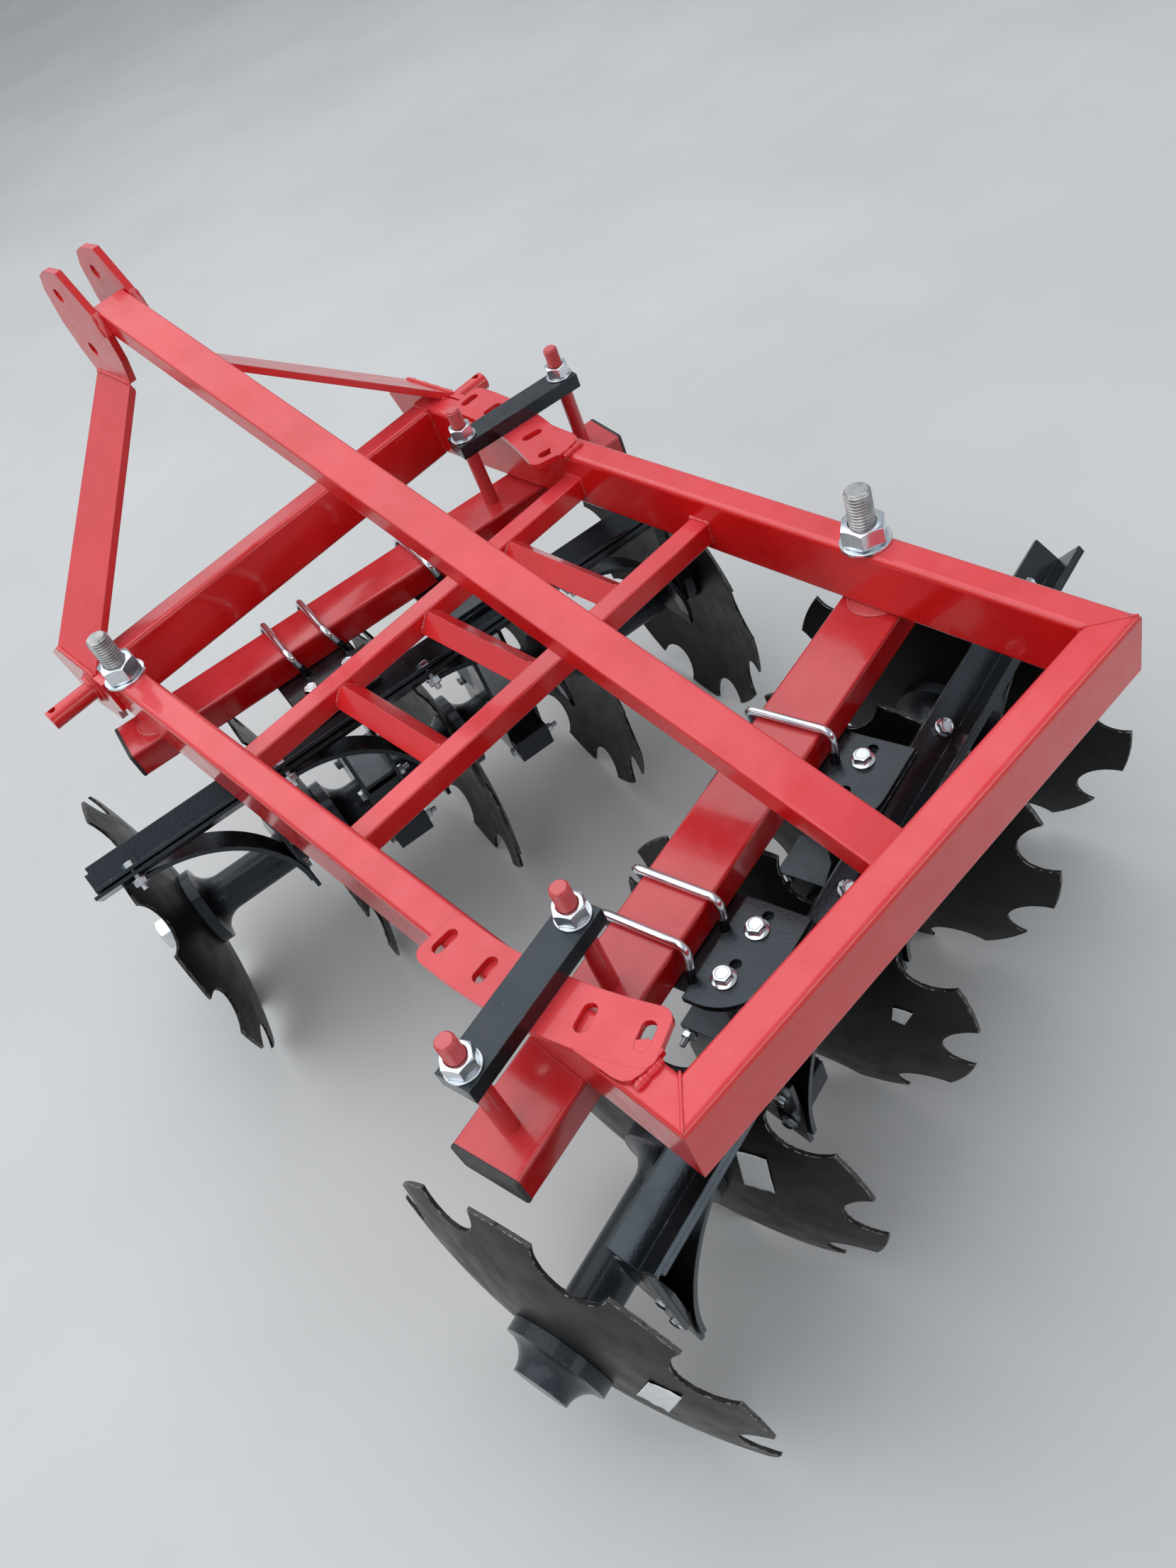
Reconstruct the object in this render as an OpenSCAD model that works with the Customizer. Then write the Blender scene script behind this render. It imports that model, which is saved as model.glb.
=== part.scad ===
// Mounted tandem disc harrow: welded frame with sloping centre rail and headstock,
// two beams that swing on vertical pins, and under each beam a gang of notched discs.
// Millimetres, Z up, +Y forwards (towards the tractor), floor at z = 0.

/* [Frame] */
// Overall width of the rectangular frame
frame_w = 656; // [600:1:720]
// Overall length of the rectangular frame
frame_l = 1140; // [1100:1:1200]
// Height of the frame's top face above the floor
frame_top = 604; // [590:1:640]
// Width of the rail section
rail_w = 40; // [36:1:50]
// Height of the rail section
rail_h = 80; // [70:1:90]
// Corner radius of the rail section
rail_r = 7; // [3:1:10]
// Side of the square cross tubes
cross_side = 30; // [25:1:40]
// Depth of the cross tubes' top face under the frame's top
cross_drop = 34; // [20:1:40]
// Rear face of the rear cross tube
cross_rear_y = 535; // [500:1:560]
// Rear face of the front cross tube
cross_front_y = 771; // [740:1:800]
// Leg of the angle struts between the cross tubes
strut_leg = 30; // [25:1:35]
// Thickness of the angle struts
strut_t = 4; // [3:1:5]

/* [Headstock] */
// Width of the sloping centre rail
centre_w = 50; // [40:1:60]
// Height of the sloping centre rail
centre_h = 30; // [25:1:40]
// Slope of the centre rail in degrees
centre_slope = 17; // [14:0.5:18]
// Drop of the centre rail's top at the rear rail
centre_drop = 36; // [32:1:45]
// Forward end of the centre rail
centre_end_y = 1238; // [1200:1:1250]
// Thickness of the headstock ears
ear_t = 10; // [8:1:12]
// Radius of the upper link pin holes
link_hole_r = 10; // [9:0.05:13]
// Forward place of the upper link holes
link_y = 1305; // [1290:1:1320]
// Height of the upper link hole over the frame's top
link_z = 344; // [335:1:352]
// Distance between the two upper link holes
link_gap = 79; // [70:1:90]
// Thickness of the mast struts
strap_t = 10; // [8:1:12]
// Width of the mast struts at the ears
strap_top_w = 106; // [90:1:110]
// Width of the mast struts at their feet
strap_foot_w = 126; // [100:1:130]
// Thickness of the lower hitch plates
hitch_t = 10; // [8:1:14]
// Radius of the lower hitch pins
hitch_r = 14; // [11:0.5:14]
// Length of the lower hitch pins outside their collar
hitch_l = 66; // [55:1:80]
// Forward place of the lower hitch pins
hitch_y = 1130; // [1110:1:1150]
// Depth of the lower hitch pins under the frame's top
hitch_z = 36; // [30:1:45]

/* [Beams] */
// Width of the swinging beams
beam_w = 80; // [70:1:90]
// Height of the swinging beams
beam_h = 40; // [35:1:45]
// Working angle of the gangs in degrees
gang_angle = 11; // [8:0.5:13]
// Turn of the rear beam from the line of its gang
rear_lean = -0.8; // [-1:0.1:1]
// Turn of the front beam from the line of its gang
front_lean = 0.3; // [-1:0.1:1]
// Rear pin, from the rear face of the frame
pivot_y = 306; // [300:1:312]
// Front pin, from the front face of the frame
front_pin_back = 98; // [90:1:106]
// Length of beam beyond the clamped side, from the pin
beam_far = 758; // [750:1:770]
// Length of beam on the other side of the pin
beam_near = 56; // [50:1:70]
// Radius of the M30 pivot studs
pivot_r = 15; // [12:0.5:16]
// Distance from the pin to the clamp
clamp_s = 638; // [630:1:645]
// Half the distance between the clamp studs
clamp_half = 82; // [78:1:86]
// Radius of the clamp studs
clamp_r = 10; // [8:0.5:11]
// Angle between two of the clamp's slots
slot_step = 5.3; // [5:0.1:5.5]
// Radius of the circle of slots about the pin
slot_ring_r = 632; // [628:1:636]
// Width of the slot plates
slot_plate_w = 60; // [52:1:66]
// Thickness of the slot plates
slot_plate_t = 8; // [6:1:12]
// Length of the clamp bars
clamp_l = 198; // [190:1:210]
// Height of the clamp bars
clamp_h = 20; // [15:1:25]

/* [Gangs] */
// Radius of the discs
disc_r = 230; // [220:1:235]
// Thickness of the discs
disc_t = 4; // [3:0.5:5]
// Depth of the discs' dish
dish = 36; // [30:1:42]
// Notches around each disc
notches = 9; // [8:1:10]
// Radius of the notches
notch_r = 41; // [36:1:44]
// Distance between discs
disc_step = 230; // [225:1:235]
// Place of the hub of the disc nearest the pin, measured from the pin
disc_first = 95; // [90:1:98]
// Side of the square axle
axle_side = 28; // [25:1:30]
// Radius of the spool neck
neck_r = 30; // [27:1:34]
// Radius of the spool rims
flange_r = 61; // [56:1:66]
// Width of the spool rims
flange_w = 16; // [12:1:20]
// Radius of the end bell
bell_r = 59; // [52:1:64]
// Length of the end bell
bell_l = 42; // [36:1:50]
// Leg of the gang's angle bar
bar_leg = 40; // [36:1:45]
// Thickness of the gang's angle bar
bar_t = 5; // [4:1:6]
// Distance of the rear gang's angle bar behind the pin
rear_bar_back = 135; // [132:1:145]
// Distance of the front gang's angle bar behind the pin
front_bar_back = 150; // [148:1:160]
// Drop of the scraper bar under the angle bar
bar_drop = 10; // [8:1:12]
// Radius of the scraper arms
arm_r = 176; // [165:1:185]
// Width of the scraper arms
arm_w = 40; // [30:1:44]
// Thickness of the scraper arms
arm_t = 7; // [5:1:8]
// Set back of the rear gang's axle from the pin
rear_back = 9; // [0:1:12]
// Set back of the front gang's axle from the pin
front_back = 34; // [28:1:36]
// Set in of the front gang towards the pin's side
front_in = 28; // [20:1:30]
// Distance of the rear gang's scrapers from the rims of their discs
rear_reach = 41; // [30:1:45]
// Distance of the front gang's scrapers from the rims of their discs
front_reach = 30; // [26:1:40]
// Set out of the rear bearing stands from the middle between two discs
rear_stand_out = 1; // [0:1:15]
// Set out of the front bearing stands from the middle between two discs
front_stand_out = 12; // [0:1:15]
// Width of the bearing stands
stand_w = 60; // [54:1:64]
// Length of the bearing stands' housing
stand_l = 114; // [104:1:124]

/* [Hidden] */
$fn = 64;
mid_x = -11;
mid_y = 641;
pivot_x = (frame_w - rail_w) / 2;
gang_step = frame_l - front_pin_back - pivot_y;
beam_gap = 2;
beam_top = -rail_h - beam_gap;
beam_bot = beam_top - beam_h;
plate_t = 6;
hang_bot = beam_bot - plate_t;
bar_low = hang_bot - (bar_leg + bar_t) * sin(45);
scraper_low = bar_low - bar_drop;
axle_z = disc_r - frame_top;
bearing_gap = [1, 2];
dish_R = (disc_r * disc_r + dish * dish) / (2 * dish);
seat = 0.3;
neck_gap = 0.5;
blade_turn = -8;
// place of the clamping U-bolts from the middle of their hanger, and half their width
u_mid = -20;
u_step = 32;
u_half = beam_w / 2 + 16;
u_r = 5;
ear_low = link_z - link_gap - 41;
strut_xs = [-145, 2, 150];
// how far each disc is turned on the square axle, from the pin's side outwards
rear_turn = [27.5, 27.5, 7.5, 37.5, 7.5];
front_turn = [37, 7.5, 31.5, 0.5, 25.5];
dark = [0.05, 0.05, 0.06];
red = [0.75, 0.03, 0.04];
zinc = [0.75, 0.76, 0.78];

// one sub-part at a time, or all of them

// frame coordinates: x = 0 in the middle, y = 0 at the rear face, z = 0 at the top
module in_frame() {
    translate([-mid_x, -mid_y, frame_top]) children();
}

// gang coordinates: the pin at the origin, +X along the gang towards the pin's side
module rear_gang() {
    in_frame() translate([pivot_x, pivot_y, 0]) rotate([0, 0, gang_angle]) children();
}

module front_gang() {
    in_frame() translate([0, gang_step, 0]) mirror([1, 0, 0])
        translate([pivot_x, pivot_y, 0]) rotate([0, 0, gang_angle]) children();
}

// beam coordinates: as the gang's, turned with the beam
module rear_swing() { rear_gang() rotate([0, 0, rear_lean]) children(); }
module front_swing() { front_gang() rotate([0, 0, front_lean]) children(); }

// axle coordinates: as the gang's, set back to the line of the axle
module rear_line() { rear_gang() translate([0, -rear_back, 0]) children(); }
module front_line() { front_gang() translate([front_in, -front_back, 0]) children(); }

// places of the two bearing stands along the gang
function stand_s(out) = [for (k = bearing_gap) disc_first + dish - (k + 0.5) * disc_step - out];

// rounded rectangle, centred
module round_rect(w, h, r) {
    union() {
        square([w - 2 * r, h], center = true);
        square([w, h - 2 * r], center = true);
        for (sx = [-1, 1], sy = [-1, 1])
            translate([sx * (w / 2 - r), sy * (h / 2 - r)]) circle(r = r);
    }
}

// angle section with its outer corner at the origin and legs along +X and +Y
module angle_2d(leg, t) {
    difference() {
        square([leg, leg]);
        translate([t, t]) square([leg, leg]);
    }
}

// bar of rail section along Y, its top face at z = 0
module rail_y(len) {
    translate([0, 0, -rail_h / 2]) rotate([-90, 0, 0]) linear_extrude(len)
        round_rect(rail_w, rail_h, rail_r);
}

module rail_x(len) {
    translate([0, 0, -rail_h / 2]) rotate([90, 0, 90]) linear_extrude(len)
        round_rect(rail_w, rail_h, rail_r);
}

module side_rail(side) {
    color(red) in_frame() difference() {
        translate([side * (frame_w - rail_w) / 2, 0, 0]) rail_y(frame_l);
        translate([side * frame_w / 2, 0, 0]) rotate([0, 0, side * -45])
            translate([-300, -300, -rail_h - 10]) cube([600, 300, rail_h + 20]);
        translate([side * pivot_x, side > 0 ? pivot_y : pivot_y + gang_step, -rail_h - 5])
            cylinder(r = pivot_r + 0.3, h = rail_h + 10);
    }
}

module rail_left() { side_rail(-1); }
module rail_right() { side_rail(1); }

module rail_rear() {
    color(red) in_frame() intersection() {
        translate([-frame_w / 2, rail_w / 2, 0]) rail_x(frame_w);
        linear_extrude(400, center = true) polygon([
            [-frame_w / 2, 0], [frame_w / 2, 0],
            [frame_w / 2 - rail_w, rail_w], [rail_w - frame_w / 2, rail_w]
        ]);
    }
}

module rail_front() {
    color(red) in_frame() translate([rail_w - frame_w / 2, frame_l - rail_w / 2, 0])
        rail_x(frame_w - 2 * rail_w);
}

module cross_tube(y) {
    color(red) in_frame()
        translate([rail_w - frame_w / 2, y + cross_side / 2, -cross_drop - cross_side / 2])
        rotate([90, 0, 90]) linear_extrude(frame_w - 2 * rail_w)
        round_rect(cross_side, cross_side, 3);
}

module cross_tube_rear() { cross_tube(cross_rear_y); }
module cross_tube_front() { cross_tube(cross_front_y); }

module cross_struts() {
    color(red) in_frame() for (x = strut_xs)
        translate([x, cross_rear_y + cross_side, -cross_drop]) rotate([-90, 0, 0])
        rotate([0, 0, 45]) linear_extrude(cross_front_y - cross_rear_y - cross_side)
        angle_2d(strut_leg, strut_t);
}

function centre_z(y) = -centre_drop + (y - rail_w) * tan(centre_slope);

module centre_rail() {
    color(red) in_frame() difference() {
        translate([0, rail_w, -centre_drop]) rotate([centre_slope, 0, 0])
            translate([0, -60, -centre_h / 2]) rotate([-90, 0, 0])
            linear_extrude((centre_end_y - rail_w) / cos(centre_slope) + 60)
            round_rect(centre_w, centre_h, 3);
        translate([-50, rail_w - 100, -200]) cube([100, 100, 300]);
    }
}

// side view of an ear, x = forward, y = up
module ear_2d() {
    tail = centre_end_y - 14;
    difference() {
        polygon([
            [tail, centre_z(tail) + 2], [link_y - 42, link_z + 37], [link_y, link_z + 35],
            [link_y + 25, link_z + 26], [link_y + 44, link_z + 4], [link_y + 57, link_z - 48],
            [link_y + 54, ear_low + 30], [link_y + 45, ear_low], [link_y - 65, ear_low],
            [tail - 3, ear_low + 36], [tail - 10, ear_low + 74]
        ]);
        for (k = [0, 1]) translate([link_y, link_z - k * link_gap]) circle(r = link_hole_r);
    }
}

module mast_ears() {
    color(red) in_frame() for (s = [-1, 1])
        translate([s * (centre_w + ear_t) / 2 - ear_t / 2, 0, 0])
        rotate([90, 0, 90]) linear_extrude(ear_t) ear_2d();
}

// tapered flat strut from the ear's lower edge down to the frame's front corner
module mast_strut(side) {
    x0 = centre_w / 2 + ear_t;
    run = frame_w / 2 + hitch_t / 2 + 1 - x0;
    len = norm([run, ear_low]);
    top_y = link_y - 10;
    foot_y = hitch_y + 22;
    slope = (foot_y - top_y) / len;
    flare = (strap_foot_w - strap_top_w) / 2 / len;
    over = 40;
    color(red) in_frame() mirror([side < 0 ? 1 : 0, 0, 0]) difference() {
        translate([x0, 0, ear_low]) rotate([0, atan2(ear_low, run), 0])
            translate([0, 0, -strap_t]) linear_extrude(strap_t) polygon([
                [-over, top_y - strap_top_w / 2 - over * (slope - flare)],
                [len + over, foot_y - strap_foot_w / 2 + over * (slope - flare)],
                [len + over, foot_y + strap_foot_w / 2 + over * (slope + flare)],
                [-over, top_y + strap_top_w / 2 - over * (slope + flare)]
            ]);
        translate([x0 - 200, top_y - 200, 0]) cube([200, 400, 2 * link_z]);
        translate([0, foot_y - 200, -200]) cube([frame_w, 400, 200]);
    }
}

module mast_strut_left() { mast_strut(-1); }
module mast_strut_right() { mast_strut(1); }

// lower hitch: side plate carried forward past the rail, and its collared pin
module hitch(side) {
    color(red) in_frame() mirror([side < 0 ? 1 : 0, 0, 0]) translate([frame_w / 2, hitch_y, 0]) {
        rotate([90, 0, 90]) linear_extrude(hitch_t) polygon([
            [-70, 0], [86, 0], [150, -hitch_z], [118, -hitch_z - 72], [92, -hitch_z - 80],
            [-6, -hitch_z - 62], [-22, -hitch_z - 38], [-70, -hitch_z - 14]
        ]);
        translate([hitch_t, 0, -hitch_z]) rotate([0, 90, 0]) cylinder(r = hitch_r + 7, h = 8);
        difference() {
            translate([hitch_t, 0, -hitch_z]) rotate([0, 90, 0])
                cylinder(r = hitch_r, h = hitch_l + 8);
            translate([hitch_l - 2 + hitch_t, 0, -hitch_z - 30]) cylinder(r = 5.5, h = 60);
        }
    }
}

module hitch_left() { hitch(-1); }
module hitch_right() { hitch(1); }

function polar(r, a) = [r * cos(a), r * sin(a)];

// arc of radius r about a centre, from angle a to angle b in n steps
function arc(centre, r, a, b, n) = [for (i = [0:n]) centre + polar(r, a + (b - a) * i / n)];

// plate with the row of slots that holds the beam at its angle
module slot_plate() {
    r0 = slot_ring_r - slot_plate_w / 2;
    r1 = slot_ring_r + slot_plate_w / 2;
    c = 14;
    e = 2.3 * slot_step - c / slot_ring_r * 180 / PI;
    color(red) rotate([0, 0, 180]) linear_extrude(slot_plate_t) difference() {
        polygon(concat(
            arc([0, 0], r1, -e, e, 20),
            arc(polar(r1 - c, e), c, e + 15, e + 90, 5),
            arc(polar(r0 + c, e), c, e + 105, e + 180, 5),
            arc([0, 0], r0, e - 0.5, 0.5 - e, 20),
            arc(polar(r0 + c, -e), c, 180 - e, 270 - e, 6),
            arc(polar(r1 - c, -e), c, 285 - e, 345 - e, 4)
        ));
        for (k = [-2:2]) rotate([0, 0, k * slot_step]) translate([slot_ring_r, 0]) union() {
            square([16, 14], center = true);
            translate([8, 0]) circle(r = 7);
            translate([-8, 0]) circle(r = 7);
        }
    }
}

module slot_plate_left() { rear_swing() slot_plate(); }
module slot_plate_right() { front_swing() slot_plate(); }

// swinging beam with its end plates
module beam() {
    color(red) translate([-beam_far, 0, beam_top - beam_h / 2]) rotate([90, 0, 90])
        linear_extrude(beam_far + beam_near) round_rect(beam_w, beam_h, 4);
}

// threaded studs welded in the beam: the pivot and the pair of the clamp
module studs() {
    color(red) {
        translate([0, 0, beam_top]) cylinder(r = pivot_r + 15, h = beam_gap);
        translate([0, 0, beam_top]) cylinder(r = pivot_r, h = 70 - beam_top);
        for (k = [-1, 1]) translate([-clamp_s + k * clamp_half, 0, beam_top])
            cylinder(r = clamp_r, h = 72 - beam_top);
    }
}

module clamp_bar() {
    color(dark) difference() {
        translate([-clamp_s - clamp_l / 2, -20, slot_plate_t]) cube([clamp_l, 40, clamp_h]);
        for (k = [-1, 1]) translate([-clamp_s + k * clamp_half, 0, 0])
            cylinder(r = clamp_r, h = 3 * clamp_h);
    }
}

// hexagon nut on a washer with a plain bore
module nut_washer(r, af, h, wr, wt) {
    difference() {
        union() {
            cylinder(r = wr, h = wt);
            translate([0, 0, wt]) cylinder(r = af / 2 / cos(30), h = h, $fn = 6);
        }
        translate([0, 0, -1]) cylinder(r = r, h = h + wt + 2);
    }
}

// U-bolt over the beam with its nuts under the hanger
module u_bolt() {
    bend = 14;
    top = beam_top + u_r;
    tail = 22;
    rotate([90, 0, 0]) translate([0, top, 0])
        cylinder(r = u_r, h = 2 * (u_half - bend), center = true);
    for (m = [0, 1]) mirror([0, m, 0]) {
        translate([0, u_half - bend, top - bend]) rotate([90, 0, 90])
            rotate_extrude(angle = 90) translate([bend, 0]) circle(r = u_r);
        translate([0, u_half, hang_bot - tail])
            cylinder(r = u_r, h = top - bend - hang_bot + tail);
        translate([0, u_half, hang_bot - 2]) cylinder(r = 11, h = 2);
        translate([0, u_half, hang_bot - 11]) cylinder(r = 9.8, h = 9, $fn = 6);
    }
}

// where the U-bolts of the hanger at c are, in beam coordinates
module at_u_bolts(c) {
    for (k = [-1, 1]) translate([c + u_mid + k * u_step, 0, 0])
        rotate([0, 0, -gang_angle]) children();
}

module fixings(stands, shift) {
    color(zinc) {
        nut_washer(pivot_r, 46, 24, 29, 4);
        for (k = [-1, 1]) translate([-clamp_s + k * clamp_half, 0, slot_plate_t + clamp_h])
            nut_washer(clamp_r, 30, 16, 18.5, 3);
        for (c = stands) at_u_bolts(c + shift) u_bolt();
    }
}

// plate clamped under the beam, with the slotted adjusting plate on it
module hanger(c, shift, back, lean) {
    low = -114 - back;
    far = c + shift - 84;
    near = c + shift + 46;
    round = 58;
    slot = 18;
    color(dark) difference() {
        union() {
            translate([far + 12, low, hang_bot]) cube([near - far - 12, 70 - low, plate_t]);
            translate([0, 0, hang_bot + plate_t]) linear_extrude(8) difference() {
                union() {
                    translate([far + round, low + 1]) square([near - far - round - 2, round]);
                    translate([far, low + 1 + round]) square([near - far - 2, 16]);
                    translate([far + round, low + 1 + round]) circle(r = round);
                }
                translate([far - 5, low + round + 16]) square([near - far, 2 * round]);
                for (b = [[12, -72], [-49, -70]]) translate([c + shift + b[0], -back + b[1]]) {
                    translate([0, -6]) square([slot, 12]);
                    circle(r = 6);
                    translate([slot, 0]) circle(r = 6);
                }
            }
        }
        rotate([0, 0, lean]) at_u_bolts(c + shift) for (s = [-1, 1])
            translate([0, s * u_half, hang_bot - 5]) cylinder(r = u_r + seat, h = 40);
    }
}

// angle bar along the gang, corner down
module vee_bar(s0, s1, back, low) {
    translate([s0, -back, low]) rotate([90, 0, 90]) linear_extrude(s1 - s0)
        rotate([0, 0, 45]) angle_2d(bar_leg, bar_t);
}

module angle_bar(back) {
    color(dark) vee_bar(-beam_far - 2, 184, back, bar_low);
}

module scraper_bar(back) {
    mid = bar_leg * sin(45) / 2;
    base = bar_t / sin(45);
    top = bar_drop - seat;
    color(dark) {
        vee_bar(-beam_far + 4, 191, back, scraper_low);
        for (s = [-700, -480, -250, -20, 160])
            translate([s - 8, -back, scraper_low]) rotate([90, 0, 90]) linear_extrude(16)
                polygon([
                    [mid - 6, mid - 6 + base - 1], [mid + 6, mid + 6 + base - 1],
                    [mid + 6, mid + 6 + top], [mid - 6, mid - 6 + top]
                ]);
    }
}

// scraper blade that reaches in from its arm towards the spool
module blade() {
    rotate([0, 0, blade_turn]) translate([-3, 0, 0]) rotate([90, 0, 90]) linear_extrude(6)
        polygon([[-13, -63], [75, -41], [75, 18], [40, 58], [-13, 58]]);
}

// scrapers of all discs but the first: curved arms off the scraper bar, each with a blade
// before the hollow of its disc, and a flat strap down to the last blade
module scrapers(back, shift, reach) {
    side = 15 - back;
    arc_z = scraper_low - arm_r;
    blade_z = arc_z + 40;
    first = disc_first + dish + shift;
    color(dark) {
        for (k = [1:4]) translate([first - k * disc_step + reach + arm_r, side, 0]) {
            translate([0, 0, arc_z]) rotate([90, 0, 0]) rotate([0, 0, 90])
                rotate_extrude(angle = 90) translate([arm_r - arm_t, -arm_w / 2])
                square([arm_t, arm_w]);
            translate([arm_t / 2 - arm_r, 0, blade_z]) blade();
        }
        translate([first - 4 * disc_step + reach + arm_t / 2, side, blade_z])
            rotate([0, 0, blade_turn]) translate([-9, -12, -20]) cube([6, 26, arm_r - 20]);
    }
}

// bearing stand: two side plates, a cover and the block around the spool neck
module bearing(c) {
    plate = 6;
    half = stand_w / 2;
    long = stand_l / 2;
    color(dark) translate([c, 0, 0]) difference() {
        union() {
            for (s = [0, 1]) mirror([s, 0, 0]) translate([half - plate, 0, 0])
                rotate([90, 0, 90]) linear_extrude(plate) polygon([
                    [-72, hang_bot], [-26, hang_bot], [-26, axle_z + 110], [-6, axle_z + 54],
                    [long, axle_z + 54], [long, axle_z - 46], [long - 14, axle_z - 60],
                    [16 - long, axle_z - 60], [-long, axle_z - 46], [-72, axle_z + 20]
                ]);
            translate([-half, -long + 6, axle_z + 48]) cube([stand_w, stand_l - 6, 6]);
            translate([-half, long - 6, axle_z - 30]) cube([stand_w, 6, 84]);
            translate([plate - half - 0.1, -52, axle_z - 40])
                cube([stand_w - 2 * plate + 0.2, 98, 80]);
        }
        translate([-stand_w, 0, axle_z]) rotate([0, 90, 0])
            cylinder(r = neck_r + neck_gap, h = 2 * stand_w);
    }
}

// square axle with its collar, threaded end and two nuts
module axle() {
    hub = disc_first + disc_t / 2;
    color(zinc) {
        translate([disc_first - 4 * disc_step - 30, -axle_side / 2, axle_z - axle_side / 2])
            cube([4 * disc_step + 60, axle_side, axle_side]);
        translate([hub + 1, 0, axle_z]) rotate([0, 90, 0]) cylinder(r = neck_r - 2, h = 36);
        translate([hub + 30, 0, axle_z]) rotate([0, 90, 0]) cylinder(r = 12, h = 66);
        translate([hub + 37, 0, axle_z]) rotate([0, 90, 0]) cylinder(r = 26.5, h = 14, $fn = 6);
        translate([hub + 52, 0, axle_z]) rotate([0, 90, 0]) cylinder(r = 26.5, h = 24, $fn = 6);
    }
}

// half profile of a concave flare of radius r that grows to rim, ending at y = 0
module flare_2d(rim, neck, w) {
    r = rim - neck;
    difference() {
        translate([0, -w - r]) square([rim, w + r]);
        translate([rim, -w - r]) circle(r = r);
    }
}

// spools between the discs, their ends shaped to the dish
module spools() {
    foot = neck_r + 11;
    color(dark) for (k = [0:3])
        translate([disc_first - (k + 1) * disc_step, 0, axle_z]) rotate([0, 90, 0]) difference() {
            rotate_extrude() difference() {
                union() {
                    square([neck_r, disc_step]);
                    square([foot, 10]);
                    polygon([[0, 0], [foot, 10], [neck_r, 24], [0, 24]]);
                    translate([0, disc_step]) flare_2d(flange_r, neck_r, flange_w);
                }
                translate([0, dish_R]) difference() {
                    translate([-1, -dish_R - 20]) square([400, dish_R + 20]);
                    circle(r = dish_R - disc_t / 2 - seat, $fn = 256);
                }
                translate([0, disc_step + dish_R])
                    circle(r = dish_R + disc_t / 2 + seat, $fn = 256);
                translate([-400, -10]) square([400, 2 * disc_step]);
            }
            cube([axle_side, axle_side, 3 * disc_step], center = true);
        }
}

module end_bell() {
    color(dark) translate([disc_first - 4 * disc_step, 0, axle_z]) rotate([0, 90, 0])
        difference() {
            rotate_extrude() difference() {
                union() {
                    translate([0, -bell_l]) square([neck_r + 2, bell_l]);
                    flare_2d(bell_r, neck_r + 2, flange_w);
                }
                translate([0, dish_R]) circle(r = dish_R + disc_t / 2 + seat, $fn = 256);
                translate([-400, -200]) square([400, 400]);
            }
            cube([axle_side, axle_side, 60.6], center = true);
        }
}

// dished disc with wide round notches; the hollow side faces +X
module disc(k, turn) {
    color(dark) translate([disc_first - k * disc_step, 0, axle_z]) rotate([0, 90, 0])
        difference() {
            rotate_extrude($fn = 128) difference() {
                translate([0, dish_R]) circle(r = dish_R + disc_t / 2, $fn = 256);
                translate([0, dish_R]) circle(r = dish_R - disc_t / 2, $fn = 256);
                translate([-2000, -1000]) square([2000, 4000]);
                translate([disc_r, -1000]) square([2000, 4000]);
                translate([-1, 400]) square([2000, 4000]);
            }
            cube([axle_side + 1, axle_side + 1, 40], center = true);
            for (n = [0:notches - 1]) rotate([0, 0, turn + 90 + (n + 0.5) * 360 / notches])
                translate([disc_r + 1, 0, -20]) cylinder(r = notch_r, h = 120);
        }
}

rail_left();
rail_right();
rail_rear();
rail_front();
cross_tube_rear();
cross_tube_front();
cross_struts();
centre_rail();
mast_ears();
mast_strut_left();
mast_strut_right();
hitch_left();
hitch_right();
slot_plate_left();
slot_plate_right();
rear_swing() beam();  // rear_beam
rear_swing() studs();  // rear_studs
rear_swing() clamp_bar();  // rear_clamp_bar
rear_swing() fixings(stand_s(rear_stand_out), 0);  // rear_fixings
rear_gang() hanger(stand_s(rear_stand_out)[1], 0, rear_back, rear_lean);  // rear_hanger_outer
rear_gang() hanger(stand_s(rear_stand_out)[0], 0, rear_back, rear_lean);  // rear_hanger_inner
rear_gang() angle_bar(rear_bar_back);  // rear_angle_bar
rear_gang() scraper_bar(rear_bar_back);  // rear_scraper_bar
rear_gang() scrapers(rear_bar_back, 0, rear_reach);  // rear_scrapers
rear_line() bearing(stand_s(rear_stand_out)[1]);  // rear_bearing_outer
rear_line() bearing(stand_s(rear_stand_out)[0]);  // rear_bearing_inner
rear_line() axle();  // rear_axle
rear_line() spools();  // rear_spools
rear_line() end_bell();  // rear_end_bell
rear_line() disc(0, rear_turn[0]);  // rear_disc_1
rear_line() disc(1, rear_turn[1]);  // rear_disc_2
rear_line() disc(2, rear_turn[2]);  // rear_disc_3
rear_line() disc(3, rear_turn[3]);  // rear_disc_4
rear_line() disc(4, rear_turn[4]);  // rear_disc_5
front_swing() beam();  // front_beam
front_swing() studs();  // front_studs
front_swing() clamp_bar();  // front_clamp_bar
front_swing() fixings(stand_s(front_stand_out), front_in);  // front_fixings
front_gang() hanger(stand_s(front_stand_out)[1], front_in, front_back, front_lean);  // front_hanger_outer
front_gang() hanger(stand_s(front_stand_out)[0], front_in, front_back, front_lean);  // front_hanger_inner
front_gang() angle_bar(front_bar_back);  // front_angle_bar
front_gang() scraper_bar(front_bar_back);  // front_scraper_bar
front_gang() scrapers(front_bar_back, front_in, front_reach);  // front_scrapers
front_line() bearing(stand_s(front_stand_out)[1]);  // front_bearing_outer
front_line() bearing(stand_s(front_stand_out)[0]);  // front_bearing_inner
front_line() axle();  // front_axle
front_line() spools();  // front_spools
front_line() end_bell();  // front_end_bell
front_line() disc(0, front_turn[0]);  // front_disc_1
front_line() disc(1, front_turn[1]);  // front_disc_2
front_line() disc(2, front_turn[2]);  // front_disc_3
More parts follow.
